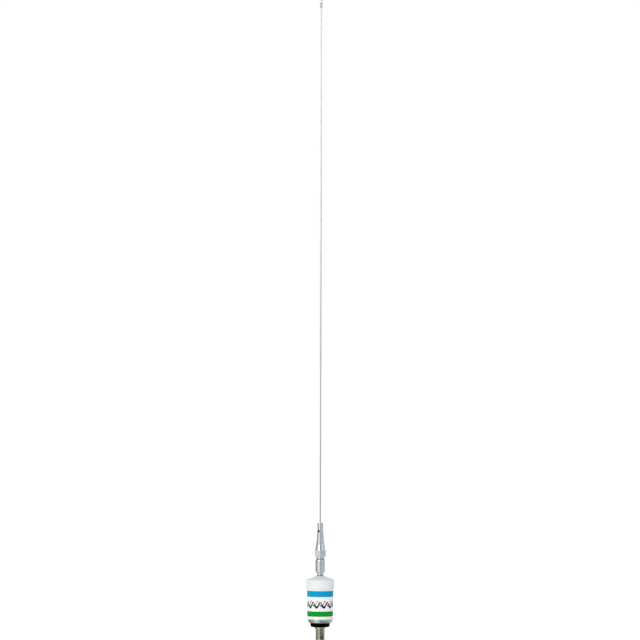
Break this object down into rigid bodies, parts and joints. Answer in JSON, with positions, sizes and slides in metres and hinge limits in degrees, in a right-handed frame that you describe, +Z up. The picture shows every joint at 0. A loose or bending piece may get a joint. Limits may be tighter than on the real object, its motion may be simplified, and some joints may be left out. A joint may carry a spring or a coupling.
{
  "type": "marine whip antenna",
  "caption": "Slim stainless whip with a tip bead in a chromed screw-on ferrule, above a round white coil housing with a threaded coaxial connector below.",
  "frame": {"origin": "on the antenna's axis, at the lower face of the clamp ring, where the connector's thread comes out", "axes": "+Z up along the whip; -Z out of the connector; -Y towards the viewer of the picture"},
  "size_m": [0.0474, 0.0474, 1.0565],
  "materials": {
    "drawn_stainless": "drawn stainless steel, lengthwise satin",
    "chrome_plate": "polished chrome plate on brass",
    "screw_steel": "turned stainless steel",
    "spring_steel": "stainless spring steel",
    "stud_steel": "rolled thread, stainless steel",
    "white_housing": "moulded white ASA, semi gloss",
    "label_film": "printed vinyl film, white with a blue and a green stripe",
    "grey_base": "turned aluminium, satin",
    "black_rubber": "moulded EPDM, matt",
    "nickel_plate": "nickel plate on brass",
    "ptfe": "turned PTFE",
    "contact_gold": "thin gold plate on brass",
    "form_resin": "glass-filled resin tube",
    "bare_copper": "bare copper wire",
    "tinned_brass": "tinned brass",
    "brass_nut": "turned brass"
  },
  "bodies": {
    "base": {"coupling": "chrome_plate", "flange_screws": "screw_steel", "form_screws": "screw_steel", "ground_screw": "screw_steel", "terminal_washer": "spring_steel", "terminal_star_washer": "spring_steel", "stud": "stud_steel", "top_cap": "white_housing", "housing_sleeve": "white_housing", "label_band": "label_film", "base_plug": "grey_base", "seat_gasket": "black_rubber", "stud_seal": "black_rubber", "base_o_ring": "black_rubber", "connector_shell": "nickel_plate", "clamp_ring": "nickel_plate", "connector_insulator": "ptfe", "centre_contact": "contact_gold", "coil_form": "form_resin", "loading_coil": "bare_copper", "feed_lead": "bare_copper", "ground_lug": "tinned_brass", "terminal_lug": "tinned_brass", "terminal_nut": "brass_nut"},
    "lock_washer": {"lock_washer": "spring_steel"},
    "ferrule": {"ferrule": "chrome_plate"},
    "whip": {"whip": "drawn_stainless", "whip_tip": "chrome_plate"},
    "set_screw": {"set_screw": "screw_steel"}
  },
  "joints": [
    {"name": "ferrule_turn", "type": "hinge", "parent": "base", "child": "lock_washer", "pos_m": [0, 0, 0.1147], "axis": [0, 0, 1], "range_deg": [0, 4680]},
    {"name": "ferrule_climb", "type": "slide", "parent": "lock_washer", "child": "ferrule", "axis": [0, 0, 1], "range_m": [0, 0.01376]},
    {"name": "whip_draw", "type": "slide", "parent": "ferrule", "child": "whip", "axis": [0, 0, 1], "range_m": [0, 0.037]},
    {"name": "set_screw_back_out", "type": "slide", "parent": "ferrule", "child": "set_screw", "axis": [-0.5476, -0.8368, 0], "range_m": [0, 0.0025]}
  ],
  "couplings": [
    {"joint": "ferrule_turn", "follows": "ferrule_climb", "rad_per_m": 5936.9}
  ]
}
